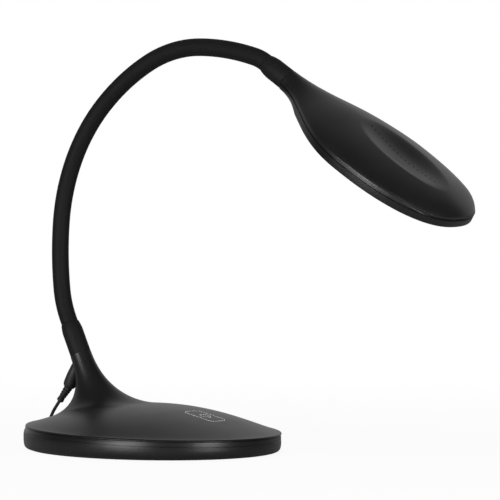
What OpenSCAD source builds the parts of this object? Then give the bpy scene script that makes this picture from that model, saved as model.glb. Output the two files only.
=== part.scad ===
// Gooseneck desk lamp: weighted base, bendable neck in eight links, LED head.
// Origin: centre of the underside of the base, on the table. +X to the head, +Z up.

/* [Base] */
// Front-to-back length of the base at its widest, mm
base_len = 233; // [200:1:260]
// Side-to-side width of the base, mm
base_wid = 194; // [160:1:220]
// Height of the seam between tray and cover at mid length, mm
seam_z = 18.6; // [15:0.2:24]
// Fall of that seam towards the front, mm per mm
seam_fall = 0.022; // [0:0.002:0.04]
// Rise of the cover above its edge, mm
dome_rise = 20.5; // [14:0.5:28]
// Exponent of the cover's dome curve
dome_pow = 1.20; // [1:0.01:1.6]
// How far the crown of the cover leans to the front, part of one
dome_lean = -0.075; // [-0.3:0.005:0.3]
// How much fuller the cover is at its sides, part of one
dome_side = 0.50; // [0:0.01:0.8]
// Rounding of the cover's edge, mm
edge_r = 1.5; // [0.8:0.1:2.5]
// Wall of the cover, mm
cover_wall = 2.5; // [2:0.1:3.5]
// Wall of the tray, mm
tray_wall = 2.4; // [2:0.1:3.5]
// Thickness of the soft pad under the tray, mm
pad_t = 1.2; // [0.8:0.1:2]

/* [Neck root] */
// Distance of the neck's root behind the middle of its foot, mm
root_back = 22.3; // [10:0.1:35]
// Height of the neck's root, mm
root_z = 79.4; // [60:0.1:95]
// Lean of the root, degrees from +X up to +Z
root_lean = 115; // [90:1:130]
// Radius of the cover at the neck's root, mm
root_r = 9.4; // [9:0.1:12]
// Length of the foot where the root flows into the dome, mm
foot_long = 112.8; // [90:0.1:125]
// Half width of that foot, mm
foot_wid = 33.3; // [25:0.1:45]

/* [Neck] */
// Outside radius of the soft sleeve, mm
sleeve_r = 7.5; // [6:0.1:9]
// Radius of the wound steel core, mm
core_r = 4.5; // [3.5:0.1:5.5]
// Radius of the passage for the wires, mm
lumen_r = 2.5; // [2:0.1:3]
// Straight length at the root, mm
root_run = 34; // [32:1:45]
// Length of the bent run between root and first joint, mm
lead_run = 28; // [20:1:40]
// Length of one link between two joints, mm
link_len = 58.6; // [50:0.1:65]
// Bent run before the head, mm
tail_arc = 12; // [8:1:20]
// Straight length at the head, mm
tail_run = 28; // [27:1:40]
// Turn of each run of the rest curve, degrees, root to head
turns = [18.5, 11.5, 20.5, 21.5, 17.5, 29.0, 15.0, 16.3];
// Radius of the collars at both ends, mm
collar_r = 9.2; // [8.5:0.1:11]
// Length of the lower collar, mm
low_collar = 30; // [25:1:33]
// Length of the upper collar, mm
up_collar = 26; // [20:1:27]

/* [Head] */
// Length of the head, mm
head_len = 199.8; // [180:0.1:220]
// Half width of the head, mm
head_half = 62.1; // [50:0.1:75]
// Length of the rounded front part, mm
head_front = 86.7; // [70:0.1:100]
// Roll of the head about its own length, degrees
head_roll = 4; // [0:1:10]
// Height of the seam plane against the neck's axis, mm
head_seam = -2.6; // [-5:0.1:0]
// Height of the underside against the neck's axis, mm
head_low = -9.2; // [-12:0.1:-8]
// Rise of the shell above the seam at the neck, mm
rise_neck = 12.1; // [11:0.1:14]
// Rise of the shell above the seam at its highest, mm
rise_top = 18.1; // [14:0.1:22]
// Place of that highest point along the head, mm
rise_at = 77.6; // [60:0.1:100]
// Height of the upright lip along the shell's seam, mm
lip_h = 3.6; // [2:0.1:5]
// How far the shell steps in above that lip, mm
lip_in = 0.8; // [0.4:0.1:1.5]
// Depth of the dished field on top, mm
dish_depth = 5.8; // [2:0.1:7]
// Middle of the dished field along the head, mm
dish_at = 128.7; // [110:0.1:140]
// Half length of the dished field, mm
dish_len = 47.9; // [35:0.1:55]
// Half width of the dished field, mm
dish_wid = 26.2; // [15:0.1:32]
// Wall of the shell, mm
head_wall = 2.2; // [1.8:0.1:3]
// Number of vent holes in the dish
vents = 17; // [9:2:21]
// Spacing of the vent holes, mm
vent_pitch = 4.6; // [4:0.1:6]
// Radius of a vent hole, mm
vent_r = 0.8; // [0.5:0.1:1.2]

/* [Cord] */
// Radius of the cord, mm
cord_r = 1.5; // [1.2:0.1:2]
// Radius of the moulded boot on the cord, mm
boot_r = 5; // [4.5:0.1:5.5]
// Turns side by side in the coil
coil_cols = 4; // [3:1:5]
// Turns on top of one another in the coil
coil_rows = 4; // [3:1:5]
// Diameter of the coil between its mid-turns, mm
coil_d = 33; // [30:1:40]

/* [View] */
// Sub-part to draw, or all

/* [Hidden] */

$fn = 48;
eps = 0.01;
half_len = base_len / 2;
half_wid = base_wid / 2;
a1 = half_len - edge_r;
b1 = half_wid - edge_r;
ai = half_len - cover_wall - 0.4;
bi = half_wid - cover_wall - 0.4;
seam_gap = 0.2;
around = 60;
foot_len = foot_long / 2;
foot_back = a1 - 1 - foot_len;
foot_reach = 0.4;
top_reach = 36.4;
web_t = 4;
gap = 0.3;
joint_clear = sleeve_r + gap;

// ---- small helpers -------------------------------------------------------
function mix(p, q, t) = p * (1 - t) + q * t;
function bez(p, q, r, s, t) =
    p * pow(1 - t, 3) + q * (3 * t * pow(1 - t, 2)) + r * (3 * t * t * (1 - t)) + s * pow(t, 3);
function unit(v) = v / norm(v);
function middle(r) = [for (a = [0:2]) [for (p = r) 1] * [for (p = r) p[a]] / len(r)];

// closed skin over rings of equal point count; "loop" joins last ring to first
module skin(rings, loop = false, fan = false) {
    m = len(rings);
    n = len(rings[0]);
    pts = concat([for (r = rings) each r], fan ? [middle(rings[0]), middle(rings[m - 1])] : []);
    last = loop ? m - 1 : m - 2;
    sides = [for (i = [0:last]) for (j = [0:n - 1])
        let (k = (i + 1) % m, l = (j + 1) % n)
        each [[i * n + j, k * n + j, k * n + l], [i * n + j, k * n + l, i * n + l]]];
    low = [for (j = [0:n - 1]) j];
    top = [for (j = [n - 1:-1:0]) (m - 1) * n + j];
    fans = [for (j = [0:n - 1])
        let (k = (j + 1) % n)
        each [[m * n, j, k], [m * n + 1, (m - 1) * n + k, (m - 1) * n + j]]];
    polyhedron(pts, loop ? sides : concat(sides, fan ? fans : [low, top]), convexity = 8);
}

// round tube along points, rings square to the run
module tube(path, r, sides) {
    m = len(path);
    dirs = [for (i = [0:m - 1])
        unit(path[min(i + 1, m - 1)] - path[max(i - 1, 0)])];
    rings = [for (i = [0:m - 1])
        let (d = dirs[i],
             u = unit(cross(d, abs(d[2]) > 0.9 ? [0, 1, 0] : [0, 0, 1])),
             v = cross(d, u))
        [for (k = [0:sides - 1])
            path[i] + r * (u * cos(360 * k / sides) + v * sin(360 * k / sides))]];
    skin(rings);
}

// points on a smooth curve through hand-set stations
function station(p, i) = p[max(0, min(len(p) - 1, i))];
function knot(p, i, t) =
    let (a = station(p, i - 1), b = station(p, i), c = station(p, i + 1), d = station(p, i + 2))
    0.5 * (2 * b + (c - a) * t + (2 * a - 5 * b + 4 * c - d) * t * t
        + (3 * b - a - 3 * c + d) * t * t * t);
function curve(p, steps) = concat(
    [for (i = [0:len(p) - 2]) for (k = [0:steps - 1]) knot(p, i, k / steps)],
    [p[len(p) - 1]]);

// ---- base shapes ---------------------------------------------------------
function dome(x, y) = seam_z - seam_fall * x
    + dome_rise * pow(1 - min(1, pow(x / a1, 2) + pow(y / b1, 2)), dome_pow)
    * (1 + dome_lean * x / a1 + dome_side * pow(y / b1, 2));
function inner_dome(x, y) = seam_z - seam_fall * x - edge_r
    + (dome_rise - 1.4) * pow(1 - min(1, pow(x / ai, 2) + pow(y / bi, 2)), dome_pow)
    * (1 + dome_lean * x / a1 + dome_side * pow(y / b1, 2));
function oval(rx, ry, n = around) = [for (k = [0:n - 1]) [rx * cos(360 * k / n), ry * sin(360 * k / n)]];

root = [-foot_back - root_back, 0, root_z];
root_dir = [cos(root_lean), 0, sin(root_lean)];
root_side = [sin(root_lean), 0, -cos(root_lean)];

function edge_ring(t) = [for (k = [0:around - 1])
    let (c = cos(360 * k / around), s = sin(360 * k / around),
         x = (a1 + edge_r * cos(t)) * c)
    [x, (b1 + edge_r * cos(t)) * s, seam_z - seam_fall * x - edge_r + edge_r * sin(t)]];
function cap_ring(m) = [for (k = [0:around - 1])
    let (c = cos(360 * k / around), s = sin(360 * k / around),
         x = mix(a1 * c, -foot_back + foot_len * c, m), y = mix(b1 * s, foot_wid * s, m))
    [x, y, dome(x, y)]];
function rib_ring(t) = [for (k = [0:around - 1])
    let (c = cos(360 * k / around), s = sin(360 * k / around),
         x = -foot_back + foot_len * c, y = foot_wid * s, h = 0.01,
         rise = (dome(x - foot_len * c * h, y - foot_wid * s * h) - dome(x, y)) / h,
         p = [x, y, dome(x, y)],
         q = p + foot_reach * [-foot_len * c, -foot_wid * s, rise],
         e = root + root_r * (c * root_side + [0, s, 0]))
    bez(p, q, e - top_reach * root_dir, e, t)];
inner_foot = foot_len - 3;
inner_half = foot_wid - 3;
inner_root = root - web_t * root_dir;
function inner_cap(m) = [for (k = [0:around - 1])
    let (c = cos(360 * k / around), s = sin(360 * k / around),
         x = mix(ai * c, -foot_back + inner_foot * c, m), y = mix(bi * s, inner_half * s, m))
    [x, y, inner_dome(x, y)]];
function inner_rib(t) = [for (k = [0:around - 1])
    let (c = cos(360 * k / around), s = sin(360 * k / around),
         x = -foot_back + inner_foot * c, y = inner_half * s, h = 0.01,
         rise = (inner_dome(x - inner_foot * c * h, y - inner_half * s * h) - inner_dome(x, y)) / h,
         p = [x, y, inner_dome(x, y)],
         q = p + foot_reach * [-inner_foot * c, -inner_half * s, rise],
         e = inner_root + (root_r - 2.2) * (c * root_side + [0, s, 0]))
    bez(p, q, e - (top_reach - 4) * root_dir, e, t)];
function root_ring(r, s) = [for (k = [0:around - 1])
    root - s * root_dir
        + r * (cos(360 * k / around) * root_side + [0, sin(360 * k / around), 0])];

shank_r = 3.5;
shank_bore = shank_r + 0.1;
boss_x = half_len - 56.5;
boss_y = half_wid - 53;
cover_boss = [[boss_x, boss_y - 4], [boss_x, 4 - boss_y], [-boss_x, boss_y], [-boss_x, -boss_y]];
legend_at = half_len - 58.9;
board_at = legend_at - 2.6;
board_post = [[board_at - 21, 0], [board_at + 21, 0]];
board_z = 20.6;
board_t = 1.6;
board_len = 48;
board_wid = 28;
boot_from = root - [4.5, 0, 10.1];
boot_to = root - [14, 0, 29.5];

// child drawn from point p along direction d in the x-z plane
module along(p, d) {
    translate(p)
        rotate([0, atan2(d[0], d[2]), 0])
            children();
}

module base_cover() {
    color([0.10, 0.10, 0.11])
        difference() {
            union() {
                skin(concat(
                    [for (t = [0, 45]) edge_ring(t)],
                    [for (m = [0, 0.06, 0.16, 0.28, 0.42, 0.58, 0.78, 1]) cap_ring(m)],
                    [for (t = [0.1:0.1:1]) rib_ring(t)],
                    [root_ring(shank_bore, 0), root_ring(shank_bore, web_t)],
                    [for (t = [1, 0.8, 0.6, 0.4, 0.2]) inner_rib(t)],
                    [for (m = [1, 0.7, 0.4, 0.15, 0]) inner_cap(m)]), true);
                for (p = cover_boss)
                    translate([p[0], p[1], 12.2])
                        cylinder(r = 3.5, h = dome(p[0], p[1]) - 13.4);
                for (p = board_post)
                    translate([p[0], p[1], board_z + board_t])
                        cylinder(r = 3, h = dome(p[0], p[1]) - board_z - board_t - 1.2);
            }
            for (p = cover_boss)
                translate([p[0], p[1], 12.1])
                    cylinder(r = 1.5, h = 10.1);
            for (p = board_post)
                translate([p[0], p[1], board_z + board_t - eps])
                    cylinder(r = 1.1, h = 3.2);
            along(boot_from, boot_to - boot_from)
                cylinder(r = boot_r + 0.03, h = 14);
        }
}

function tray_ring(inset, z) = [for (k = [0:around - 1])
    [(half_len - inset) * cos(360 * k / around), (half_wid - inset) * sin(360 * k / around), z]];
function tray_rim(extra) = [for (k = [0:around - 1])
    let (c = cos(360 * k / around), s = sin(360 * k / around),
         inset = 2 - c + extra, x = (half_len - inset) * c)
    [x, (half_wid - inset) * s, seam_z - seam_fall * x - edge_r - seam_gap]];

floor_z = pad_t + 2.5;
module base_tray() {
    color([0.09, 0.09, 0.10])
        difference() {
            union() {
                skin([tray_ring(3.4, pad_t), tray_ring(1.2, 5), tray_ring(0.6, 10),
                    tray_rim(0), tray_rim(tray_wall), tray_ring(3.4, 9),
                    tray_ring(5.6, floor_z)]);
                for (p = cover_boss)
                    translate([p[0], p[1], floor_z - eps])
                        cylinder(r = 4.5, h = 12 - floor_z);
                for (p = ballast_fix)
                    translate([p[0], p[1], floor_z - eps])
                        cylinder(r = 5, h = 3);
            }
            for (p = cover_boss) {
                translate([p[0], p[1], pad_t - 1])
                    cylinder(r = 3.1, h = 6);
                translate([p[0], p[1], pad_t])
                    cylinder(r = 1.7, h = 12);
            }
            for (p = ballast_fix)
                translate([p[0], p[1], floor_z - 1])
                    cylinder(r = 1.4, h = 5);
        }
}

weight_len = base_len - 81;
weight_wid = base_wid - 74;
fix_x = weight_len / 2 - 12;
fix_y = weight_wid / 2 - 14;
ballast_fix = [[0, fix_y], [0, -fix_y], [fix_x, 0], [-fix_x - 2, 0]];
ballast_z = floor_z + 3 - eps;
ballast_t = 8;
module ballast_weight() {
    color([0.45, 0.45, 0.47])
        translate([0, 0, ballast_z])
            linear_extrude(ballast_t)
                difference() {
                    rounded(weight_len, weight_wid, 16);
                    for (p = cover_boss)
                        translate(p)
                            circle(r = 5.5);
                    for (p = ballast_fix)
                        translate(p)
                            circle(r = 2.2);
                }
}

module anti_slip_pad() {
    color([0.05, 0.05, 0.05])
        linear_extrude(pad_t)
            polygon(oval(half_len - 3.6, half_wid - 3.6));
}

module screw(len, r, head_radius, head_h) {
    rotate_extrude()
        polygon([[0, -head_h], [head_radius, -head_h], [head_radius, 0], [r, 0], [r, len], [0, len]]);
}

module cover_screws() {
    color([0.6, 0.6, 0.62])
        for (p = cover_boss)
            translate([p[0], p[1], pad_t + 5])
                screw(14, 1.5, 2.8, 2);
}

module ballast_screws() {
    color([0.6, 0.6, 0.62])
        for (p = ballast_fix)
            translate([p[0], p[1], ballast_z + ballast_t])
                mirror([0, 0, 1])
                    screw(ballast_t + 3, 1.4, 4, 2.2);
}

legend_len = 30;
legend_wid = 17.4;
legend_r = 5.5;
// flat outline with rounded corners
module rounded(l, w, r) {
    square([l - 2 * r, w], center = true);
    square([l, w - 2 * r], center = true);
    for (x = [-1, 1])
        for (y = [-1, 1])
            translate([x * (l / 2 - r), y * (w / 2 - r)])
                circle(r = r);
}

ink_low = 0.03;
ink_top = 0.15;
quarter = [[1, 1], [-1, 1], [-1, -1], [1, -1]];
function legend_band(d, lift) = [for (q = [0:3]) for (k = [0:9])
    let (a = 90 * q + 18 * min(5, k), r = legend_r - d, t = max(0, k - 5) / 5,
         u = legend_len / 2 - legend_r, v = legend_wid / 2 - legend_r,
         m = mix(quarter[q], quarter[(q + 1) % 4], t),
         x = legend_at + u * m[0] + r * cos(a), y = v * m[1] + r * sin(a))
    [x, y, dome(x, y) + lift]];
function sign_ring(r, lift) = [for (k = [0:23])
    let (x = legend_at + r * cos(15 * k), y = r * sin(15 * k)) [x, y, dome(x, y) + lift]];
function sign_bar(lift) = [for (c = [[3.6, 0.3], [1.2, 0.3], [1.2, -0.3], [3.6, -0.3]])
    let (x = legend_at + c[0], y = c[1]) [x, y, dome(x, y) + lift]];
// marks laid on the cover: a rounded frame and a power sign in it
module touch_legend() {
    color([0.75, 0.76, 0.78]) {
        skin([legend_band(0, ink_low), legend_band(0, ink_top),
            legend_band(0.5, ink_top), legend_band(0.5, ink_low)], true);
        skin([sign_ring(2.7, ink_low), sign_ring(2.7, ink_top),
            sign_ring(2.1, ink_top), sign_ring(2.1, ink_low)], true);
        skin([sign_bar(ink_low), sign_bar(ink_top)], fan = true);
    }
}

module touch_spring() {
    spring_top = inner_dome(legend_at + 4, 0) - 0.5;
    foot = board_z + board_t;
    color([0.75, 0.72, 0.62]) {
        for (k = [0:2])
            translate([legend_at, 0, foot + 0.45 + k * (spring_top - foot - 0.9) / 2])
                rotate_extrude()
                    translate([3.5, 0])
                        circle(r = 0.45, $fn = 24);
        for (y = [-3.5, 3.5])
            translate([legend_at, y, foot])
                cylinder(r = 0.35, h = spring_top - foot - 0.2, $fn = 24);
    }
}

module control_board() {
    color([0.08, 0.28, 0.16])
        translate([board_at, 0, board_z])
            linear_extrude(board_t)
                difference() {
                    square([board_len, board_wid], center = true);
                    for (p = board_post)
                        translate([p[0] - board_at, p[1]])
                            circle(r = 1.4);
                }
}

module board_parts() {
    color([0.15, 0.15, 0.16]) {
        translate([board_at - 11, -10, board_z - 2])
            cube([8, 6, 2]);
        translate([board_at + 7, 5, board_z - 3.2])
            cube([7, 7, 3.2]);
        translate([board_at - 19, 8, board_z + board_t])
            cube([6, 5, 3.5]);
        translate([board_at + 15, -8, board_z + board_t])
            cylinder(r = 2, h = 2.2);
    }
}

module board_screws() {
    color([0.6, 0.6, 0.62])
        for (p = board_post)
            translate([p[0], p[1], board_z])
                screw(4.2, 1.1, 2.2, 1.5);
}

module neck_nut() {
    color([0.6, 0.6, 0.62])
        along(root - (web_t + 4) * root_dir, root_dir)
            difference() {
                cylinder(r = 5.7, h = 4, $fn = 6);
                translate([0, 0, -1])
                    cylinder(r = shank_r, h = 6);
            }
}

module lower_ferrule() {
    color([0.09, 0.09, 0.10])
        along(root, root_dir)
            difference() {
                union() {
                    cylinder(r = collar_r, h = low_collar);
                    translate([0, 0, -web_t - 5])
                        cylinder(r = shank_r, h = web_t + 6);
                }
                translate([0, 0, 6])
                    cylinder(r = sleeve_r, h = low_collar);
                translate([0, 0, 2])
                    cylinder(r = core_r, h = 6);
                translate([0, 0, -web_t - 6])
                    cylinder(r = lumen_r - 0.5, h = 20);
            }
}

module base_lead() {
    start = root - (web_t + 5 - 0.5) * root_dir;
    color([0.75, 0.75, 0.75])
        tube(concat([root + 8 * root_dir, root - 2 * root_dir],
            curve([start, root + [6.9, 0, -17.4], root + [19.9, 0, -35.4], root + [49.9, 4, -44.4],
                [board_at - 44, 10, board_z + 8.8],
                [board_at - 16, 10.5, board_z + board_t + 4.35]], 3)),
            0.8, 8);
}

module supply_lead() {
    color([0.75, 0.75, 0.75])
        tube(curve([boot_from + [0.9, 0, -3.1], boot_from + [2.4, 0, -0.4], boot_from + [4.4, 0, -1.3],
            boot_from + [5.4, 0, -5.3], root + [3.9, -2, -25.4], root + [23.9, -8, -45.4],
            root + [59.9, -8, -53.4], [board_at - 32, -8, board_z + 3.3],
            [board_at - 22, -8, board_z + board_t + 0.85]], 3),
            0.8, 8);
}

// ---- neck ----------------------------------------------------------------
function heading(i) = i == 0 ? root_lean : heading(i - 1) - turns[i - 1];
function arc_len(i) = i == 0 ? lead_run : i < 7 ? link_len : tail_arc;
function bend_r(i) = arc_len(i) * 180 / (PI * turns[i]);
function arc_from(i) = i == 0 ? root + root_run * root_dir : arc_end(i - 1);
function centre(i) = arc_from(i) + bend_r(i) * [sin(heading(i)), 0, -cos(heading(i))];
function arc_end(i) = centre(i) + bend_r(i) * [-sin(heading(i + 1)), 0, cos(heading(i + 1))];
function dir(i) = [cos(heading(i)), 0, sin(heading(i))];

// frame of run i: middle of its bend at the origin, its far end on +X, leaving along -Y
module in_link(i) {
    translate(centre(i))
        rotate([90, 0, 0])
            rotate([0, 0, heading(i + 1) + 90])
                children();
}

// ring or disc profile bent along run i, beginning "from" mm after its start
module bent(i, r, bore = 0, from = 0, side = 0) {
    skip = from * 180 / (PI * bend_r(i));
    rotate_extrude(angle = turns[i] - skip)
        translate([bend_r(i), -side])
            band(r, bore);
}
module band(r, bore) {
    difference() {
        circle(r = r);
        if (bore > 0)
            circle(r = bore);
    }
}

// the same profile carried straight on past the far end
module stub(i, r, bore, h, side = 0) {
    translate([bend_r(i), 0, -side])
        rotate([90, 0, 0])
            linear_extrude(h)
                band(r, bore);
}

// half ball with a bore over the joint at the far end
module ball_end(i, r, bore) {
    translate([bend_r(i), 0, 0])
        rotate([90, 0, 0])
            rotate_extrude()
                intersection() {
                    circle(r = r);
                    translate([bore, 0])
                        square(r);
                }
}

module sleeve(i) {
    color([0.06, 0.06, 0.065]) {
        in_link(i)
            difference() {
                union() {
                    bent(i, sleeve_r, core_r);
                    if (i < 7)
                        ball_end(i, sleeve_r, core_r);
                    else
                        stub(i, sleeve_r, core_r, tail_run - 6);
                }
                if (i > 0)
                    rotate([0, 0, turns[i]])
                        translate([bend_r(i), 0, 0])
                            sphere(r = joint_clear);
            }
        if (i == 0)
            along(root + 6 * root_dir, root_dir)
                linear_extrude(root_run - 6)
                    band(sleeve_r, core_r);
    }
}

module core(i) {
    color([0.55, 0.56, 0.58]) {
        in_link(i) {
            bent(i, core_r, lumen_r, i == 0 ? 0 : joint_clear + 0.2);
            stub(i, core_r, lumen_r, i < 7 ? 5.9 : tail_run - 2);
        }
        if (i == 0)
            along(root + 2 * root_dir, root_dir)
                linear_extrude(root_run - 2)
                    band(core_r, lumen_r);
    }
}

module wires(i) {
    color([0.80, 0.80, 0.80])
        for (side = [-1.1, 1.1]) {
            in_link(i) {
                bent(i, 0.8, 0, i == 0 ? 0 : joint_clear + 0.2, side);
                stub(i, 0.8, 0, i < 7 ? 7.2 : tail_run - 2, side);
            }
            if (i == 0)
                along(root + [0, side, 0] + 10 * root_dir, root_dir)
                    cylinder(r = 0.8, h = root_run - 10.02);
        }
}

// ---- head ----------------------------------------------------------------
head_at = arc_end(7) + tail_run * dir(8);
module in_head() {
    translate(head_at)
        rotate([0, -heading(8), 0])
            rotate([head_roll, 0, 0])
                children();
}

head_mid = head_len - head_front;
function half_at(x) = x < head_mid
    ? 9.5 + (head_half - 9.5) * pow(1 - pow((head_mid - x) / head_mid, 2), 1.8)
    : head_half * pow(max(0, 1 - pow((x - head_mid) / head_front, 2.4)), 1 / 2.4);
function rise(x) = x < rise_at
    ? rise_neck + (rise_top - rise_neck) * pow(1 - pow((rise_at - x) / rise_at, 2), 3.09)
    : rise_top * pow(max(0, 1 - pow((x - rise_at) / (head_len - rise_at), 2.5)), 0.467);
function ease(t) = let (u = max(0, min(1, t))) u * u * (3 - 2 * u);
function lip(x) = lip_h * ease((x + 4) / 16) * ease((head_len - x) / 34);
function shell_z(x, y) = let (k = ease(x / 45), u = min(1, abs(y) / max(0.01, half_at(x) - lip_in)))
    head_seam + lip(x)
    + (rise(x) - lip(x)) * pow(1 - pow(u, mix(2.4, 1.72, k)), mix(0.42, 0.69, k));
function dish(x, y) = dish_depth * pow(max(0, 1 - pow((x - dish_at) / dish_len, 2)
    - pow(y / dish_wid, 2)), 0.9);

// plan outline of one side from neck to tip, then back along the other
back_x = [0.01, 3, 8, 15, 24, 34, 45, 57, 70, 84, 98];
front_a = [0, 9, 18, 27, 36, 45, 54, 63, 72, 81];
left_side = concat([[0, 3.2], [0, 7]], [for (x = back_x) [x, half_at(x)]],
    [for (t = front_a)
        [head_mid + head_front * pow(sin(t), 1 / 1.2), head_half * pow(cos(t), 1 / 1.2)]]);
right_side = [for (i = [len(left_side) - 1:-1:0]) [left_side[i][0], -left_side[i][1]]];
outline = concat(left_side, [[head_len, 0]], right_side);
function toward(p, rx, ry, cx) =
    let (b = atan2(p[1] / ry, (p[0] - cx) / rx)) [cx + rx * cos(b), ry * sin(b)];
function inset(p, w) = // plan outline drawn in by about w
    [w + (p[0]) * (head_len - 2 * w) / head_len, p[1] * (1 - w / max(9.5, half_at(p[0])))];
function lip_edge(p, w) = [p[0] * (1 - w / head_len), p[1] * (1 - w / max(9.5, half_at(p[0])))];
function lip_ring(w) = [for (p = outline) let (q = lip_edge(p, w)) [q[0], q[1], head_seam + lip(q[0])]];
function shell_ring(m) = [for (p = outline)
    let (q = mix(lip_edge(p, lip_in), toward(p, dish_len, dish_wid, dish_at), m))
    [q[0], q[1], shell_z(q[0], q[1])]];
function dish_ring(m) = [for (p = outline)
    let (q = mix(toward(p, dish_len, dish_wid, dish_at), [dish_at, 0], m))
    [q[0], q[1], shell_z(q[0], q[1]) - dish(q[0], q[1])]];
function rim_ring(w, z) = [for (p = outline) let (q = inset(p, w)) [q[0], q[1], z]];
function under(x, y) = shell_z(x, y) - dish(x, y);
function inner_ring(m) = [for (p = outline)
    let (e = inset(p, head_wall),
         q = mix(e, toward(p, dish_len, dish_wid, dish_at), m))
    [q[0], q[1], max(head_seam, min(shell_z(q[0], q[1]) - head_wall,
        head_seam + (rise(q[0]) - head_wall)
        * pow(max(0, 1 - pow(min(1, abs(q[1]) / max(0.01, half_at(q[0]) - head_wall)), 1.7)), 1 / 1.7)))]];
function inner_dish(m) = [for (p = outline)
    let (q = mix(toward(p, dish_len, dish_wid, dish_at), [dish_at, 0], m))
    [q[0], q[1], under(q[0], q[1]) - head_wall]];

led_post = [[80, 30], [80, -30], [166, 18], [166, -18]];
ring_fix = [[34, 11], [34, -11], [150, 49.5], [150, -49.5]];
led_z = -1.8;
module head_shell() {
    color([0.07, 0.07, 0.075])
        in_head()
            difference() {
                union() {
                    skin(concat(
                        [for (m = [0.85, 0.6, 0.25]) dish_ring(m)],
                        [for (m = [1, 0.8, 0.6, 0.42, 0.26, 0.14, 0.07, 0.03, 0.004]) shell_ring(m)],
                        [lip_ring(0.3), rim_ring(0, head_seam), rim_ring(head_wall, head_seam)],
                        [for (m = [0.006, 0.05, 0.14, 0.3, 0.5, 0.75, 1]) inner_ring(m)],
                        [for (m = [0.25, 0.6, 0.85]) inner_dish(m)]), fan = true);
                    for (p = led_post)
                        translate([p[0], p[1], led_z])
                            cylinder(r = 2.6, h = under(p[0], p[1]) - led_z - 1);
                    for (p = ring_fix)
                        translate([p[0], p[1], head_seam])
                            cylinder(r = 2.8, h = under(p[0], abs(p[1]) + 2.8) - head_seam - 0.6);
                }
                for (k = [0:vents - 1])
                    translate([dish_at - 1.6 + (k - (vents - 1) / 2) * vent_pitch, 0, 0])
                        cylinder(r = vent_r, h = 20, $fn = 16);
                for (p = led_post)
                    translate([p[0], p[1], led_z - 1])
                        cylinder(r = 1.1, h = 5);
                for (p = ring_fix)
                    translate([p[0], p[1], head_seam - 1])
                        cylinder(r = 1.1, h = 6);
                translate([-1, 0, 0])
                    rotate([0, 90, 0])
                        cylinder(r = shank_r, h = 8);
            }
}

glass_at = 118;
glass_len = 70;
glass_wid = 48;
module head_ring() {
    color([0.09, 0.09, 0.10])
        in_head()
            difference() {
                union() {
                    skin([rim_ring(head_wall, head_low + 2), rim_ring(head_wall, head_seam - 0.15),
                        rim_ring(0, head_seam - 0.15), rim_ring(0, head_low),
                        [for (p = outline) let (q = toward(p, glass_len, glass_wid, glass_at))
                            [q[0], q[1], head_low]],
                        [for (p = outline) let (q = toward(p, glass_len, glass_wid, glass_at))
                            [q[0], q[1], head_low + 2]]], true);
                    for (p = ring_fix)
                        translate([p[0], p[1], head_low + 2 - eps])
                            cylinder(r = 2.8, h = head_seam - head_low - 2);
                }
                for (p = ring_fix) {
                    translate([p[0], p[1], head_low - 1])
                        cylinder(r = 2.1, h = 3);
                    translate([p[0], p[1], head_low])
                        cylinder(r = 1.3, h = 8);
                }
                translate([-1, 0, 0])
                    rotate([0, 90, 0])
                        cylinder(r = shank_r + 0.1, h = 4);
            }
}

module ring_screws() {
    color([0.6, 0.6, 0.62])
        in_head()
            for (p = ring_fix)
                translate([p[0], p[1], head_low + 2])
                    screw(9, 1.1, 2, 1.4);
}

module diffuser() {
    color([0.93, 0.94, 0.92])
        in_head() {
            translate([glass_at, 0, head_low + 0.4])
                linear_extrude(1.6 + eps)
                    polygon(oval(glass_len - 0.4, glass_wid - 0.4));
            translate([glass_at, 0, head_low + 2])
                linear_extrude(1.2)
                    polygon(oval(glass_len + 2.2, glass_wid + 2.2));
        }
}

module led_board() {
    color([0.88, 0.89, 0.88])
        in_head()
            translate([glass_at, 0, led_z - 1.2])
                linear_extrude(1.2)
                    difference() {
                        polygon(oval(glass_len - 8, glass_wid - 7));
                        for (p = led_post)
                            translate([p[0] - glass_at, p[1]])
                                circle(r = 1.4);
                    }
}

module leds() {
    color([0.95, 0.88, 0.5])
        in_head()
            for (i = [-2:2])
                for (j = [-1.5:1.5])
                    translate([glass_at + i * 21 - 1.75, j * 16 - 1.4, led_z - 2])
                        cube([3.5, 2.8, 0.8]);
}

module led_screws() {
    color([0.6, 0.6, 0.62])
        in_head()
            for (p = led_post)
                translate([p[0], p[1], led_z - 1.2])
                    screw(5, 1.1, 2.2, 1.4);
}

module upper_ferrule() {
    color([0.09, 0.09, 0.10])
        along(head_at - up_collar * dir(8), dir(8))
            difference() {
                union() {
                    cylinder(r = collar_r, h = up_collar);
                    cylinder(r = shank_r, h = up_collar + 9);
                }
                translate([0, 0, -1])
                    cylinder(r = sleeve_r, h = up_collar - 5);
                cylinder(r = core_r, h = up_collar - 2);
                cylinder(r = lumen_r - 0.5, h = up_collar + 20);
            }
}

module head_nut() {
    color([0.6, 0.6, 0.62])
        along(head_at + 2.75 * dir(8), dir(8))
            difference() {
                cylinder(r = 5.4, h = 4, $fn = 6);
                translate([0, 0, -1])
                    cylinder(r = shank_r, h = 6);
            }
}

module head_lead() {
    color([0.75, 0.75, 0.75])
        in_head()
            tube(concat([[-1.7, 0, 0]], curve([[7, 0, 0], [20, 0, 0], [36, 0, 1], [52, 0, 1], [64, 0, -0.9]], 3)),
                0.8, 8);
}

// ---- cord ----------------------------------------------------------------
boot_dir = unit(boot_to - boot_from);
boot_len = norm(boot_to - boot_from);
module cord_boot() {
    color([0.06, 0.06, 0.065])
        along(boot_from, boot_dir) {
            cylinder(r = boot_r, h = boot_len - 2);
            translate([0, 0, boot_len - 2 - eps])
                cylinder(r1 = boot_r, r2 = 3.6, h = 2 + eps);
        }
}

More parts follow.
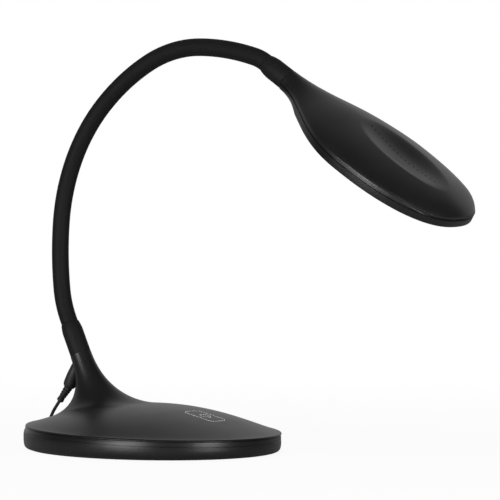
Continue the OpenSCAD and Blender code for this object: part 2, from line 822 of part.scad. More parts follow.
relief_dir = unit([-10.5, 0, -12.6]);
module strain_relief() {
    color([0.06, 0.06, 0.065])
        along(boot_to, relief_dir) {
            difference() {
                union() {
                    cylinder(r1 = 2.9, r2 = 2.4, h = 15);
                    for (k = [0:4])
                        translate([0, 0, 0.6 + k * 2.9])
                            cylinder(r = 3.3 - k * 0.12, h = 1.5);
                    translate([0, 0, 14])
                        cylinder(r = 3.1, h = 2);
                }
                translate([0, 0, 1])
                    cylinder(r = cord_r, h = 16);
            }
        }
}

coil_at = [-85, 116];
usb_at = [coil_at[0] + 23, coil_at[1] + coil_d / 2 + cord_r * (coil_cols - 1) - 0.2, 4.2];
tie_t = 0.8;
module cord_coil() {
    color([0.06, 0.06, 0.065])
        translate([coil_at[0], coil_at[1], coil_rows * cord_r + tie_t])
            rotate_extrude()
                translate([coil_d / 2, 0])
                    union() {
                        square([2 * cord_r * (coil_cols - 1), 2 * cord_r * coil_rows], center = true);
                        square([2 * cord_r * coil_cols, 2 * cord_r * (coil_rows - 1)], center = true);
                    }
    color([0.06, 0.06, 0.065])
        translate([coil_at[0], usb_at[1], usb_at[2]])
            rotate([0, 90, 0])
                cylinder(r = cord_r, h = usb_at[0] - coil_at[0] + 1);
}

module cord_tie() {
    color([0.10, 0.10, 0.11])
        translate([coil_at[0], coil_at[1] + coil_d / 2, coil_rows * cord_r + tie_t])
            rotate([90, 0, 90])
                linear_extrude(4, center = true)
                    difference() {
                        square([2 * (cord_r * coil_cols + tie_t), 2 * (cord_r * coil_rows + tie_t)],
                            center = true);
                        square([2 * cord_r * coil_cols + 0.5, 2 * cord_r * coil_rows], center = true);
                    }
}

relief_end = boot_to + 16 * relief_dir;
cord_in = boot_to + 2 * relief_dir;
cord_path = concat([cord_in, relief_end],
    curve([relief_end + 5 * relief_dir, [-113, 0.4, 26.5], [-119, 2.5, 17.5], [-121.6, 5, 9],
        [-125.5, 11, 3.2], [-129, 22, 1.6],
        [-130, 38, 1.5], [-127, 60, 1.5], [-120, 78, 1.5], [-111, 94, 1.6], [-107, 105, 2],
        [-106.2, 116, 2.4]], 4));
module cord_run() {
    color([0.06, 0.06, 0.065])
        tube(cord_path, cord_r, 8);
}

module usb_grip() {
    color([0.06, 0.06, 0.065])
        translate(usb_at)
            rotate([0, 90, 0])
                linear_extrude(24)
                    rounded(8.4, 15, 2);
}

module usb_shell() {
    color([0.70, 0.70, 0.72])
        translate(usb_at + [24, 0, 0])
            rotate([0, 90, 0])
                linear_extrude(12)
                    difference() {
                        square([4.5, 12], center = true);
                        translate([-0.6, 0])
                            square([2.1, 11.2], center = true);
                    }
}

base_cover();
base_tray();
ballast_weight();
anti_slip_pad();
cover_screws();
ballast_screws();
touch_legend();
touch_spring();
control_board();
board_parts();
board_screws();
neck_nut();
lower_ferrule();
base_lead();
supply_lead();
sleeve(0);  // neck_sleeve_1
sleeve(1);  // neck_sleeve_2
sleeve(2);  // neck_sleeve_3
sleeve(3);  // neck_sleeve_4
sleeve(4);  // neck_sleeve_5
sleeve(5);  // neck_sleeve_6
sleeve(6);  // neck_sleeve_7
sleeve(7);  // neck_sleeve_8
core(0);  // neck_core_1
core(1);  // neck_core_2
core(2);  // neck_core_3
core(3);  // neck_core_4
core(4);  // neck_core_5
core(5);  // neck_core_6
core(6);  // neck_core_7
core(7);  // neck_core_8
wires(0);  // neck_wires_1
wires(1);  // neck_wires_2
wires(2);  // neck_wires_3
wires(3);  // neck_wires_4
wires(4);  // neck_wires_5
wires(5);  // neck_wires_6
wires(6);  // neck_wires_7
wires(7);  // neck_wires_8
upper_ferrule();
head_nut();
head_shell();
head_ring();
diffuser();
led_board();
leds();
led_screws();
ring_screws();
head_lead();
cord_boot();
strain_relief();
cord_run();
cord_coil();
cord_tie();
usb_grip();
usb_shell();
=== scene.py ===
import math

import bmesh
import bpy
from mathutils import Matrix, Vector


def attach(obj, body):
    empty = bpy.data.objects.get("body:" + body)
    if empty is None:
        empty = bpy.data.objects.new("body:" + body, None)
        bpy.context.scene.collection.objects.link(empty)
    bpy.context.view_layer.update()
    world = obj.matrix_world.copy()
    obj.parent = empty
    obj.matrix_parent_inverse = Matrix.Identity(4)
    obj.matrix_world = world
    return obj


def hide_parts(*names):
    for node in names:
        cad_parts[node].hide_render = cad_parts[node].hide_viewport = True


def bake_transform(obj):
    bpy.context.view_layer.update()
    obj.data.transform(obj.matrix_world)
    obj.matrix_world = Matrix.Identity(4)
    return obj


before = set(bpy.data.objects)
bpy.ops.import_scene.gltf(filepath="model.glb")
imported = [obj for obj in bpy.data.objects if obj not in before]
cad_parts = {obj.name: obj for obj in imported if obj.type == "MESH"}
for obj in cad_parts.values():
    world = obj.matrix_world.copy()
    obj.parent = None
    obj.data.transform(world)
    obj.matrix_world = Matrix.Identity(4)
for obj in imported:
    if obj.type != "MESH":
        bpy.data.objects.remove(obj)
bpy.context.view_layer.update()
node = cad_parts
bpy.ops.object.select_all(action="DESELECT")

# ---- Camera, ground and light --------------------------------------------
# A long lens, level with the middle of the lamp, looks from its front right side.
# Ground and backdrop are plain and pale. Two soft boxes beside the lamp show in the
# gloss of its walls; two more, above it and behind it, only fill.
TARGET = Vector((0.1045, 0.0, 0.1712))
TURN = math.radians(36.0)
DISTANCE = 1.7893
camera_data = bpy.data.cameras.new("camera")
camera_data.sensor_width = 36.0
camera_data.lens = 154.97
camera_data.clip_start = 0.05
camera_data.clip_end = 50
camera = bpy.data.objects.new("camera", camera_data)
camera.location = TARGET + DISTANCE * Vector((math.sin(TURN), -math.cos(TURN), 0))
camera.rotation_euler = (math.pi / 2, 0, TURN)
bpy.context.scene.collection.objects.link(camera)
bpy.context.scene.camera = camera
bpy.context.scene.view_settings.view_transform = "Standard"


def added(tree, kind, values=None, **settings):
    """A new shader node with its settings and its fixed input values."""
    fresh = tree.nodes.new("ShaderNode" + kind)
    for name, value in settings.items():
        setattr(fresh, name, value)
    for name, value in (values or {}).items():
        fresh.inputs[name].default_value = value
    return fresh


# The backdrop is white to the camera. What the gloss sees of it fades away from the
# side that the camera faces, and the rest of the light from it is low.
world = bpy.data.worlds.new("studio")
bpy.context.scene.world = world
world.use_nodes = True
tree = world.node_tree
background = tree.nodes["Background"]
background.inputs["Color"].default_value = (1, 1, 1, 1)
rays = added(tree, "LightPath")
heading = added(tree, "TexCoord")
ahead = added(tree, "VectorMath", operation="DOT_PRODUCT")
ahead.inputs[1].default_value = (-math.sin(TURN), math.cos(TURN), 0.0)
backdrop = added(tree, "MapRange", {
    "From Min": 0.25, "From Max": 0.95, "To Min": 0.03, "To Max": 0.60},
    interpolation_type="SMOOTHSTEP")
glossed = added(tree, "Math", operation="MAXIMUM")
around = added(tree, "Mix", {"A": 0.12}, data_type="FLOAT")
sky = added(tree, "Mix", {"B": 1.0}, data_type="FLOAT")
tree.links.new(heading.outputs["Generated"], ahead.inputs[0])
tree.links.new(ahead.outputs["Value"], backdrop.inputs["Value"])
tree.links.new(rays.outputs["Is Glossy Ray"], glossed.inputs[0])
tree.links.new(rays.outputs["Is Transmission Ray"], glossed.inputs[1])
tree.links.new(glossed.outputs[0], around.inputs["Factor"])
tree.links.new(backdrop.outputs["Result"], around.inputs["B"])
tree.links.new(around.outputs["Result"], sky.inputs["A"])
tree.links.new(rays.outputs["Is Camera Ray"], sky.inputs["Factor"])
tree.links.new(sky.outputs["Result"], background.inputs["Strength"])

# The ground keeps a faint shadow near the lamp and runs out to white.
bpy.ops.mesh.primitive_plane_add(size=9, location=(0, 0, -0.0004))
ground = bpy.context.object
ground.name = "ground"
pale_ground = bpy.data.materials.new("pale_ground")
pale_ground.use_nodes = True
tree = pale_ground.node_tree
matt = tree.nodes["Principled BSDF"]
matt.inputs["Roughness"].default_value = 0.9
pale = added(tree, "Mix", {
    "A": (0.50, 0.50, 0.50, 1), "B": (0.95, 0.95, 0.95, 1)}, data_type="RGBA")
glow = added(tree, "Emission", {"Color": (1, 1, 1, 1)})
rays = added(tree, "LightPath")
place = added(tree, "TexCoord")
reach = added(tree, "VectorMath", operation="LENGTH")
whiter = added(tree, "MapRange", {"From Min": 0.25, "From Max": 1.0, "To Min": 0.93})
seen = added(tree, "Math", operation="MULTIPLY")
mixed = added(tree, "MixShader")
tree.links.new(pale.outputs["Result"], matt.inputs["Base Color"])
tree.links.new(place.outputs["Object"], reach.inputs[0])
tree.links.new(reach.outputs["Value"], whiter.inputs["Value"])
tree.links.new(rays.outputs["Is Camera Ray"], seen.inputs[0])
tree.links.new(rays.outputs["Is Camera Ray"], pale.inputs["Factor"])
tree.links.new(whiter.outputs["Result"], seen.inputs[1])
tree.links.new(seen.outputs[0], mixed.inputs["Fac"])
tree.links.new(matt.outputs[0], mixed.inputs[1])
tree.links.new(glow.outputs[0], mixed.inputs[2])
tree.links.new(mixed.outputs[0], tree.nodes["Material Output"].inputs["Surface"])
ground.data.materials.append(pale_ground)


def soft_box(name, place, aim, width, height, power, mirrored=True):
    """A rectangular soft box that lights the set and stays out of the picture."""
    lamp = bpy.data.lights.new(name, "AREA")
    lamp.shape = "RECTANGLE"
    lamp.size, lamp.size_y, lamp.energy = width, height, power
    box = bpy.data.objects.new(name, lamp)
    box.location = place
    box.rotation_euler = (Vector(aim) - Vector(place)).to_track_quat("-Z", "Y").to_euler()
    box.visible_camera = False
    box.visible_glossy = mirrored
    bpy.context.scene.collection.objects.link(box)


soft_box("fill_box", (0.9, -1.5, 2.0), (0.05, 0, 0.1), 1.6, 1.2, 22, False)
soft_box("back_box", (-1.3, 1.6, 1.6), (0.05, 0, 0.1), 1.6, 1.0, 14, False)
soft_box("left_box", (-0.10, -1.90, 0.32), (0.0, 0, 0.02), 0.85, 0.62, 20)
soft_box("right_box", (1.77, -0.68, 0.32), (0.0, 0, 0.02), 0.75, 0.62, 16)

# ---- Cord ----------------------------------------------------------------
# Thin round two-core cord in soft black vinyl. It leaves the bend relief, drops
# behind the base and lies on the table; its spare length is a tied coil.
CORD_R = 0.0015
ROOT = Vector((-0.0799, 0, 0.0794))
BOOT_FROM = ROOT - Vector((0.0045, 0, 0.0101))
BOOT_TO = ROOT - Vector((0.0140, 0, 0.0295))
RELIEF_DIR = Vector((-0.0105, 0, -0.0126)).normalized()
RELIEF_LEN = 0.016
CORD_EXIT = BOOT_TO + RELIEF_LEN * RELIEF_DIR
COIL_AT = Vector((-0.085, 0.116, 0))
COIL_TURNS, COIL_STEPS = 14, 30


def moulded(name, shade, rough, grain=2600.0, depth=0.08, metal=0.0, gloss=0.5):
    """A solid-coloured skin with a fine grain and a slightly uneven sheen."""
    material = bpy.data.materials.new(name)
    material.use_nodes = True
    tree = material.node_tree
    skin = tree.nodes["Principled BSDF"]
    skin.inputs["Metallic"].default_value = metal
    skin.inputs["Specular IOR Level"].default_value = gloss
    place = added(tree, "TexCoord")
    cloud = added(tree, "TexNoise", {"Scale": 45, "Detail": 4})
    sheen = added(tree, "MapRange", {"To Min": rough - 0.04, "To Max": rough + 0.04})
    darker, paler = (*(0.88 * c for c in shade), 1), (*(1.12 * c for c in shade), 1)
    tint = added(tree, "Mix", {"A": darker, "B": paler}, data_type="RGBA")
    pores = added(tree, "TexNoise", {"Scale": grain, "Detail": 2})
    bump = added(tree, "Bump", {"Strength": depth, "Distance": 0.0001})
    tree.links.new(place.outputs["Object"], cloud.inputs["Vector"])
    tree.links.new(cloud.outputs["Fac"], sheen.inputs["Value"])
    tree.links.new(sheen.outputs["Result"], skin.inputs["Roughness"])
    tree.links.new(cloud.outputs["Fac"], tint.inputs["Factor"])
    tree.links.new(tint.outputs["Result"], skin.inputs["Base Color"])
    tree.links.new(place.outputs["Object"], pores.inputs["Vector"])
    tree.links.new(pores.outputs["Fac"], bump.inputs["Height"])
    tree.links.new(bump.outputs["Normal"], skin.inputs["Normal"])
    return material


def mix(a, b, t):
    return a * (1 - t) + b * t


def ease(t):
    t = max(0.0, min(1.0, t))
    return t * t * (3 - 2 * t)


def smooth_run(stations, steps):
    """Points on a smooth curve through the stations."""
    last = len(stations) - 1
    run = []
    for i in range(last):
        a, b, c, d = (stations[max(0, min(last, i + k))] for k in (-1, 0, 1, 2))
        for k in range(steps):
            t = k / steps
            run.append(0.5 * (2 * b + (c - a) * t + (2 * a - 5 * b + 4 * c - d) * t * t
                              + (3 * b - a - 3 * c + d) * t ** 3))
    return run + [stations[last]]


soft_black = moulded("soft_black", (0.013, 0.013, 0.0135), 0.52, 900, 0.12)
route = smooth_run([CORD_EXIT - 0.004 * RELIEF_DIR, CORD_EXIT, CORD_EXIT + 0.005 * RELIEF_DIR] + [
    Vector(p) for p in (
        (-0.113, 0.0004, 0.0265), (-0.119, 0.0025, 0.0175), (-0.1216, 0.005, 0.009),
        (-0.1255, 0.011, 0.0032), (-0.129, 0.022, 0.0016), (-0.130, 0.038, 0.0015),
        (-0.127, 0.060, 0.0015), (-0.120, 0.078, 0.0015), (-0.111, 0.094, 0.0016),
        (-0.107, 0.105, 0.002), (-0.1062, 0.116, 0.0023))], 4)
# The coil, in millimetres: each turn's radius and height. Its end runs on for seven
# steps past the last whole turn, round to the plug.
coil_radii = [21.2, 19.5, 16.5, 13.5, 12, 15, 18, 20.8, 20.8, 18, 15, 12, 13.5, 16.5, 19.5, 20.8]
coil_heights = [2.3] * 4 + [5.3] * 4 + [8.3] * 4 + [11.3] * 4
for k in range(1, COIL_TURNS * COIL_STEPS + 8):
    turn, part = divmod(k / COIL_STEPS, 1)
    step = ease((part - 0.05) / 0.4)
    radius = mix(coil_radii[int(turn)], coil_radii[int(turn) + 1], step) / 1000
    height = mix(coil_heights[int(turn)], coil_heights[int(turn) + 1], step) / 1000
    angle = math.pi - 2 * math.pi * k / COIL_STEPS
    route.append(COIL_AT + Vector((radius * math.cos(angle), radius * math.sin(angle), height)))
route += smooth_run([Vector(p) for p in (
    (-0.0820, 0.1367, 0.0112), (-0.0770, 0.1368, 0.0098), (-0.0715, 0.1368, 0.0070),
    (-0.0665, 0.1368, 0.0049), (-0.0620, 0.1368, 0.0042), (-0.0600, 0.1368, 0.0042))], 3)
cord_curve = bpy.data.curves.new("cord", "CURVE")
cord_curve.dimensions = "3D"
cord_curve.bevel_depth = CORD_R
cord_curve.bevel_resolution = 3
cord_curve.use_fill_caps = True
spline = cord_curve.splines.new("POLY")
spline.points.add(len(route) - 1)
for point, spot in zip(spline.points, route):
    point.co = (*spot, 1)
cord = bpy.data.objects.new("cord", cord_curve)
bpy.context.scene.collection.objects.link(cord)
cord_curve.materials.append(soft_black)
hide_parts("cord_run", "cord_coil")
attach(cord, "base")

# ---- Cord tie ------------------------------------------------------------
# A short band of black vinyl-coated wire strip, closed round the coil.
TIE_AT, TIE_SIZE, TIE_ROUND = Vector((-0.085, 0.1325, 0.0068)), (0.004, 0.0134, 0.0134), 0.0028


def block(name, place, size):
    """A box at its place, in edit mode, to be shaped."""
    bpy.ops.mesh.primitive_cube_add(size=1, location=place, scale=size)
    piece = bpy.context.object
    piece.name = name
    bpy.ops.object.transform_apply(location=False, rotation=False, scale=True)
    bpy.ops.object.mode_set(mode="EDIT")
    return piece


def pick(piece, kind, wanted):
    """Selects only the faces or edges of a piece in edit mode that pass a test."""
    bpy.ops.mesh.select_mode(type=kind)
    bpy.ops.mesh.select_all(action="DESELECT")
    mesh = bmesh.from_edit_mesh(piece.data)
    for part in mesh.faces if kind == "FACE" else mesh.edges:
        if wanted(part):
            part.select_set(True)
    bmesh.update_edit_mesh(piece.data)


def shaped():
    """Ends the shaping: back to picking by points, and out of edit mode."""
    bpy.ops.mesh.select_mode(type="VERT")
    bpy.ops.object.mode_set(mode="OBJECT")


def settle(piece):
    """Applies every modifier of a piece."""
    bpy.ops.object.select_all(action="DESELECT")
    bpy.context.view_layer.objects.active = piece
    piece.select_set(True)
    for modifier in list(piece.modifiers):
        bpy.ops.object.modifier_apply(modifier=modifier.name)
    piece.select_set(False)


def softened(piece, width, segments, angle=30):
    """Rounds the sharp edges of a piece that is out of edit mode."""
    soft = piece.modifiers.new("soft", "BEVEL")
    soft.width = width
    soft.segments = segments
    soft.limit_method = "ANGLE"
    soft.angle_limit = math.radians(angle)
    settle(piece)


def dressed(piece, material, slot, body, *nodes):
    """Finishes a piece: outward faces, smooth shading, material and body. The slot is not used."""
    piece.data.materials.clear()
    piece.data.materials.append(material)
    bpy.ops.object.select_all(action="DESELECT")
    bpy.context.view_layer.objects.active = piece
    piece.select_set(True)
    bpy.ops.object.transform_apply(location=True, rotation=True, scale=True)
    bpy.ops.object.mode_set(mode="EDIT")
    bpy.ops.mesh.select_all(action="SELECT")
    bpy.ops.mesh.normals_make_consistent(inside=False)
    if bmesh.from_edit_mesh(piece.data).calc_volume(signed=True) < 0:
        bpy.ops.mesh.flip_normals()
    bpy.ops.object.mode_set(mode="OBJECT")
    bpy.ops.object.shade_smooth_by_angle(angle=math.radians(35))
    piece.select_set(False)
    if nodes:
        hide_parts(*nodes)
    if body:
        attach(piece, body)
    return piece


tie = block("tie", TIE_AT, TIE_SIZE)
pick(tie, "FACE", lambda face: abs(face.normal.x) > 0.9)
bpy.ops.mesh.delete(type="FACE")
pick(tie, "EDGE", lambda edge: abs(edge.verts[0].co.x - edge.verts[1].co.x) > 0.003)
bpy.ops.mesh.bevel(offset=TIE_ROUND, segments=6, affect="EDGES")
shaped()
wall = tie.modifiers.new("wall", "SOLIDIFY")
wall.thickness = 0.0006
wall.offset = -1
softened(tie, 0.00015, 2)
dressed(tie, soft_black, "cord_black", "base", "cord_tie")

# ---- Plug ----------------------------------------------------------------
# A moulded grip that narrows to the cord, and the folded, plated shell of a flat
# low-voltage plug with its black insert.
PLUG_AT = Vector((-0.062, 0.1368, 0.0042))
GRIP_AT = PLUG_AT + Vector((0.012, 0, 0))
grip = block("plug_grip", GRIP_AT, (0.024, 0.015, 0.0084))
pick(grip, "FACE", lambda face: face.normal.x < -0.9)
bpy.ops.transform.resize(value=(1, 0.62, 0.72), center_override=GRIP_AT)
pick(grip, "FACE", lambda face: abs(face.normal.z) > 0.9)
for thickness, depth in ((0.0022, 0), (0.0004, -0.0003)):
    bpy.ops.mesh.inset(use_even_offset=False, thickness=thickness, depth=depth, use_individual=True)
shaped()
softened(grip, 0.0011, 4, 50)
dressed(grip, soft_black, "cord_black", "base", "usb_grip")

plated = moulded("plated", (0.62, 0.61, 0.60), 0.26, 700, 0.03, 1.0)
plug = block("plug_shell", PLUG_AT + Vector((0.030, 0, 0)), (0.012, 0.012, 0.0045))
pick(plug, "FACE", lambda face: face.normal.x > 0.9)
bpy.ops.mesh.inset(use_even_offset=False, thickness=0.0004, depth=0, use_individual=True)
bpy.ops.mesh.extrude_region_move(TRANSFORM_OT_translate={"value": (-0.009, 0, 0)})
shaped()
softened(plug, 0.00015, 2)
dressed(plug, plated, "plug_metal", "base", "usb_shell")

insert = block("plug_insert", PLUG_AT + Vector((0.0305, 0, 0.0009)), (0.0095, 0.0110, 0.0016))
shaped()
softened(insert, 0.0003, 2)
dressed(insert, soft_black, "cord_black", "base")

# ---- Boot and bend relief ------------------------------------------------
# The cord's moulded boot sits in the back of the neck's root; below it a ribbed,
# tapered sleeve of the same vinyl keeps the cord from kinking.
BOOT_LEN = (BOOT_TO - BOOT_FROM).length


def toward(start, direction):
    """The place and turn that lays a piece built up +Z along a direction."""
    turn = Vector(direction).to_track_quat("Z", "Y").to_matrix().to_4x4()
    return Matrix.Translation(start) @ turn


def turned(name, profile, matrix, steps=72):
    """A lathe piece: a profile of radius and height, spun about +Z, then placed."""
    mesh = bpy.data.meshes.new(name)
    line = [(k, k + 1) for k in range(len(profile) - 1)]
    mesh.from_pydata([(r, 0, h) for r, h in profile], line, [])
    piece = bpy.data.objects.new(name, mesh)
    bpy.context.scene.collection.objects.link(piece)
    bpy.ops.object.select_all(action="DESELECT")
    bpy.context.view_layer.objects.active = piece
    piece.select_set(True)
    bpy.ops.object.mode_set(mode="EDIT")
    bpy.ops.mesh.select_all(action="SELECT")
    bpy.ops.mesh.spin(steps=steps, angle=2 * math.pi, center=(0, 0, 0), axis=(0, 0, 1))
    bpy.ops.mesh.select_all(action="SELECT")
    bpy.ops.mesh.remove_doubles(threshold=0.000005)
    bpy.ops.object.mode_set(mode="OBJECT")
    piece.data.transform(matrix)
    return piece


boot = turned("boot", [
    (0, 0), (0.0046, 0), (0.0050, 0.004), (0.0056, 0.010), (0.0058, BOOT_LEN - 0.0040),
    (0.0055, BOOT_LEN - 0.0018), (0.0048, BOOT_LEN - 0.0005), (0.0040, BOOT_LEN), (0, BOOT_LEN)],
    toward(BOOT_FROM, BOOT_TO - BOOT_FROM))
dressed(boot, soft_black, "cord_black", "base", "cord_boot")

relief_profile = [(0, -0.0006), (0.0029, -0.0006)]
for k in range(5):
    low, rib, groove = 0.0006 + 0.0029 * k, 0.0038 - 0.00022 * k, 0.0031 - 0.00018 * k
    relief_profile += [
        (groove, low - 0.0001), (rib - 0.0001, low), (rib, low + 0.0003), (rib, low + 0.0012),
        (rib - 0.0001, low + 0.0015), (groove - 0.0001, low + 0.0016)]
relief_profile += [
    (0.0024, 0.0138), (0.0029, 0.0139), (0.0031, 0.0142), (0.0031, 0.0157), (0.0029, RELIEF_LEN),
    (0.0016, RELIEF_LEN), (0.0016, 0.010), (0, 0.010)]
relief = turned("relief", relief_profile, toward(BOOT_TO, RELIEF_DIR))
dressed(relief, soft_black, "cord_black", "base", "strain_relief")

# ---- Base cover ----------------------------------------------------------
# Moulded in one piece in satin black: a low dome whose back flows up into the root
# that carries the neck. Four screws from below hold it on the tray.
HALF_LEN, HALF_WID, EDGE, COVER_WALL = 0.1165, 0.097, 0.0015, 0.0024
TOP_LEN, TOP_WID = HALF_LEN - EDGE, HALF_WID - EDGE
FOOT_LEN, FOOT_WID = 0.0564, 0.0333
FOOT_BACK = TOP_LEN - 0.001 - FOOT_LEN
ROOT_R = 0.0094
CORE_HOLE_R = 0.0038
ROOT_DIR = Vector((math.cos(math.radians(115)), 0, math.sin(math.radians(115))))
ROOT_SIDE = Vector((ROOT_DIR.z, 0, -ROOT_DIR.x))
ROUND = [2 * math.pi * k / 240 for k in range(240)]
cover_black = moulded("cover_black", (0.0085, 0.0085, 0.0090), 0.37, 2600, 0.05, 0.0, 0.36)


def loft(name, rings, looped=False, capped=False):
    """A skin over rings of points, each ring joined to the next."""
    shell = bmesh.new()
    rows = [[shell.verts.new(p) for p in ring] for ring in rings]
    for low, high in zip(rows, rows[1:] + (rows[:1] if looped else [])):
        for k in range(len(low)):
            j = (k + 1) % len(low)
            shell.faces.new((low[k], low[j], high[j], high[k]))
    if capped:
        shell.faces.new(rows[0])
        shell.faces.new(rows[-1])
    bmesh.ops.recalc_face_normals(shell, faces=shell.faces)
    if shell.calc_volume(signed=True) < 0:
        bmesh.ops.reverse_faces(shell, faces=shell.faces)
    mesh = bpy.data.meshes.new(name)
    shell.to_mesh(mesh)
    shell.free()
    piece = bpy.data.objects.new(name, mesh)
    bpy.context.scene.collection.objects.link(piece)
    return piece


def seam(x):
    """Height of the line between cover and tray; it falls towards the front."""
    return 0.0186 - 0.022 * x


def dome(x, y):
    """Height of the cover's dome, highest behind its middle and full at its sides."""
    rho = min(1.0, (x / TOP_LEN) ** 2 + (y / TOP_WID) ** 2)
    fullness = 1 - 0.075 * x / TOP_LEN + 0.5 * (y / TOP_WID) ** 2
    return seam(x) + 0.0205 * (1 - rho) ** 1.2 * fullness


def edge_ring(turn, drawn_in=0.0):
    """The cover's rounded rim, from its side at turn 0 to its top."""
    spread, sink = EDGE * math.cos(turn) - drawn_in, EDGE * (1 - math.sin(turn))
    return [Vector(((TOP_LEN + spread) * math.cos(a), (TOP_WID + spread) * math.sin(a),
                    seam((TOP_LEN + spread) * math.cos(a)) - sink)) for a in ROUND]


def cap_ring(m):
    """A ring on the dome, from its rim at m 0 to the root's foot at m 1."""
    ring = []
    for a in ROUND:
        x = mix(TOP_LEN * math.cos(a), -FOOT_BACK + FOOT_LEN * math.cos(a), m)
        y = mix(TOP_WID * math.sin(a), FOOT_WID * math.sin(a), m)
        ring.append(Vector((x, y, dome(x, y))))
    return ring


def nosed(ring):
    """The front of the cover reaches a little past its ellipse."""
    return [p + Vector((0.0020 * ease((p.x - 0.045) / 0.06) * p.x / HALF_LEN, 0, 0)) for p in ring]


def rib_ring(t, wall=0.0):
    """A ring of the root, from its foot on the dome at t 0 to its top at t 1."""
    ring = []
    for a in ROUND:
        out = Vector(((FOOT_LEN - wall) * math.cos(a), (FOOT_WID - wall) * math.sin(a), 0))
        foot = Vector((-FOOT_BACK, 0, 0)) + out
        foot.z = dome(foot.x, foot.y) - wall
        climb = (dome(foot.x - 0.01 * out.x, foot.y - 0.01 * out.y) - foot.z - wall) / 0.01
        lean = foot + 0.4 * (Vector((0, 0, climb)) - out)
        top = (ROOT - 1.8 * wall * ROOT_DIR
               + (ROOT_R - wall) * (math.cos(a) * ROOT_SIDE + Vector((0, math.sin(a), 0))))
        under = top - 0.0364 * ROOT_DIR
        ring.append(foot * (1 - t) ** 3 + lean * (3 * t * (1 - t) ** 2)
                    + under * (3 * t * t * (1 - t)) + top * t ** 3)
    return ring


def root_ring(radius, depth):
    """A round ring square to the neck, a depth below the root's top."""
    centre = ROOT - depth * ROOT_DIR
    return [centre + radius * (math.cos(a) * ROOT_SIDE + Vector((0, math.sin(a), 0)))
            for a in ROUND]


cover = loft("cover", (
    [nosed(edge_ring(0, 0.0029)), nosed(edge_ring(0, 0.0002))]
    + [nosed(edge_ring(math.radians(t))) for t in (4, 15, 30, 45, 60, 75)]
    + [nosed(cap_ring((k / 24) ** 1.3)) for k in range(24)]
    + [rib_ring(t / 30) for t in range(0, 30)]
    + [root_ring(ROOT_R, 0.0001), root_ring(CORE_HOLE_R, 0.0001), root_ring(CORE_HOLE_R, 0.004)]
    + [rib_ring(t / 8, COVER_WALL) for t in range(8, -1, -1)]
    + [[p - Vector((0, 0, COVER_WALL)) for p in cap_ring(m)] for m in (0.8, 0.6, 0.4, 0.2, 0.05)]),
    looped=True)
dressed(cover, cover_black, "black_shell", "base", "base_cover")

# ---- Touch mark ----------------------------------------------------------
# Pale grey ink printed on the cover: a rounded frame with the power sign in it.
MARK_AT, MARK_LEN, MARK_WID, MARK_ROUND = 0.0576, 0.0315, 0.0212, 0.0050
STROKE, SIGN_R = 0.00065, 0.0044
INK_LOW, INK_TOP = 0.00002, 0.00012
mark_ink = moulded("mark_ink", (0.66, 0.67, 0.69), 0.5, 3000, 0.03)


def inked(x, y, lift):
    """A place on the cover's own skin, a given lift above it."""
    place, facing = cover.ray_cast(Vector((MARK_AT + x, y, 0.08)), Vector((0, 0, -1)))[1:3]
    return place + lift * facing


def frame_line(drawn_in, lift):
    """The rounded frame, drawn in from its outer size."""
    line = []
    for quarter in range(4):
        side_x, side_y = (1, -1, -1, 1)[quarter], (1, 1, -1, -1)[quarter]
        next_x, next_y = (-1, -1, 1, 1)[quarter], (1, -1, -1, 1)[quarter]
        half_x, half_y = MARK_LEN / 2 - MARK_ROUND, MARK_WID / 2 - MARK_ROUND
        r = MARK_ROUND - drawn_in
        for k in range(9):
            a = math.radians(90 * quarter + 90 * k / 8)
            line.append(inked(side_x * half_x + r * math.cos(a),
                              side_y * half_y + r * math.sin(a), lift))
        a = math.radians(90 * quarter + 90)
        for k in range(1, 12):
            line.append(inked(mix(side_x, next_x, k / 12) * half_x + r * math.cos(a),
                              mix(side_y, next_y, k / 12) * half_y + r * math.sin(a), lift))
    return line


def stroke(name, path):
    """A short printed line along a path of places and sideways directions."""
    rings = []
    for x, y, u, v in path:
        left = x - u * STROKE / 2, y - v * STROKE / 2
        right = x + u * STROKE / 2, y + v * STROKE / 2
        rings.append([inked(*left, INK_LOW), inked(*left, INK_TOP),
                      inked(*right, INK_TOP), inked(*right, INK_LOW)])
    return loft(name, rings, capped=True)


mark = loft("touch_mark", [
    frame_line(0, INK_LOW), frame_line(0, INK_TOP), frame_line(STROKE, INK_TOP),
    frame_line(STROKE, INK_LOW)], looped=True)
sign_turns = [math.radians(38 + 284 * k / 48) for k in range(49)]
sign = [stroke("sign_ring", [(SIGN_R * math.cos(a), SIGN_R * math.sin(a), math.cos(a), math.sin(a))
                             for a in sign_turns]),
        stroke("sign_bar", [(0.0020 + 0.0007 * k, 0, 0, 1) for k in range(7)])]
bpy.ops.object.select_all(action="DESELECT")
for piece in [mark] + sign:
    piece.select_set(True)
bpy.context.view_layer.objects.active = mark
bpy.ops.object.join()
dressed(mark, mark_ink, "legend_ink", "base", "touch_legend")

# ---- Base tray -----------------------------------------------------------
# Moulded lower half of the base with a barrelled wall, rounded under, and a fine
# step below its rim. It carries the ballast and the four cover screws.
TRAY_LEN, TRAY_WID, TRAY_AT = 0.1184, 0.0970, -0.0004
STEP_DEPTH = 0.00025
tray_black = moulded("tray_black", (0.0070, 0.0070, 0.0074), 0.34, 2600, 0.05, 0.0, 0.36)


def tray_ring(drawn_in, height):
    """A level oval line of the tray."""
    half_len, half_wid = TRAY_LEN - drawn_in, TRAY_WID - drawn_in
    return [Vector((TRAY_AT + half_len * math.cos(a), half_wid * math.sin(a), height))
            for a in ROUND]


def rim_ring(below, drawn_in=0.0):
    """A line of the wall a given way below the rim, where it still leans in."""
    ring = []
    for a in ROUND:
        lean = (0.0013 - 0.0011 * math.cos(a)) * max(0, 1 - below / 0.0068) ** 2 + drawn_in
        x = TRAY_AT + (TRAY_LEN - lean) * math.cos(a)
        top = seam(x) - EDGE - 0.0003
        ring.append(Vector((x, (TRAY_WID - lean) * math.sin(a), top - below)))
    return ring


